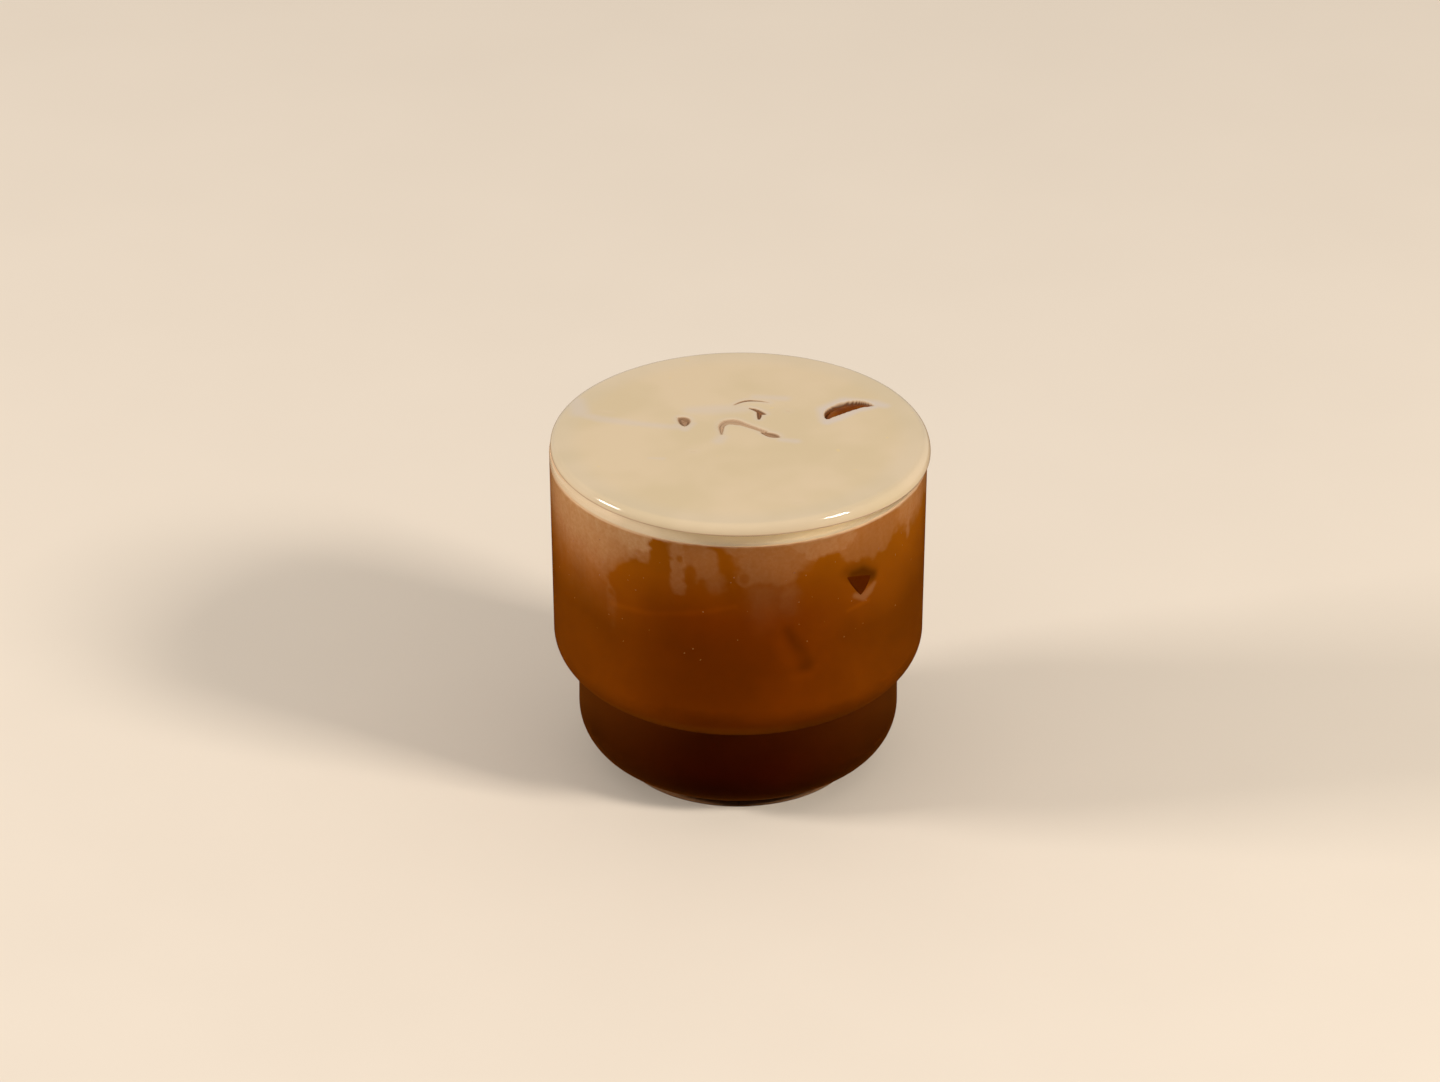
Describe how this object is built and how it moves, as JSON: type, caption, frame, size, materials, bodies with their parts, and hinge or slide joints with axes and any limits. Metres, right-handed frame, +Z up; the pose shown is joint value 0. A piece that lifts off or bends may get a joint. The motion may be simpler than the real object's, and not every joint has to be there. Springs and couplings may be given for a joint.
{
  "type": "freddo espresso in a stackable glass",
  "caption": "Iced coffee filled to the brim of a stepped, stackable tumbler, under a domed cap of pale foam that ice breaks through.",
  "frame": {"origin": "middle of the glass's base, on the table", "axes": "+Z up through the middle of the glass; +X to the right and +Y away, as the picture shows it"},
  "size_m": [0.0886, 0.088, 0.0845],
  "materials": {
    "glass": "clear, faintly misted by the cold drink",
    "coffee": "wet, cloudy amber brown",
    "foam": "fine, smooth, satin",
    "ice": "wet, clear ice stained by the coffee"
  },
  "bodies": {
    "root": {"glass": "glass", "coffee": "coffee", "foam": "foam", "ice_right": "ice", "ice_middle": "ice", "ice_back": "ice", "ice_left": "ice"}
  },
  "joints": []
}
